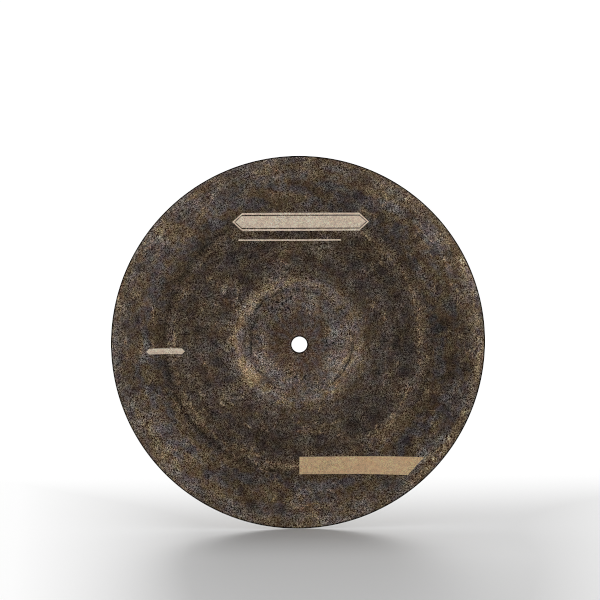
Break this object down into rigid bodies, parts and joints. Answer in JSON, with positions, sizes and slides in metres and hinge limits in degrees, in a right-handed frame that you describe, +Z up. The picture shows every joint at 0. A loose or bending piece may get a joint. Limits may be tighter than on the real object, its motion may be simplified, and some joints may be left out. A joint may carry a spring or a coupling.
{
  "type": "china cymbal",
  "caption": "Round hammered bronze percussion plate with a domed bell, a post hole, a shallow bow and a wide flange turned back at the rim.",
  "frame": {"origin": "centre of the post hole, level with the outer felt seat on top of the bell", "axes": "+Z up with the cymbal standing on its rim; the cymbal's own axis lies along Y and the top of the bell faces -Y"},
  "size_m": [0.3048, 0.0253, 0.3048],
  "materials": {
    "aged_bronze": "hammered cast bronze with a dark brown patina, worn lighter on the bell and towards the rim, half matt"
  },
  "bodies": {
    "root": {"cymbal": "aged_bronze"}
  },
  "joints": []
}
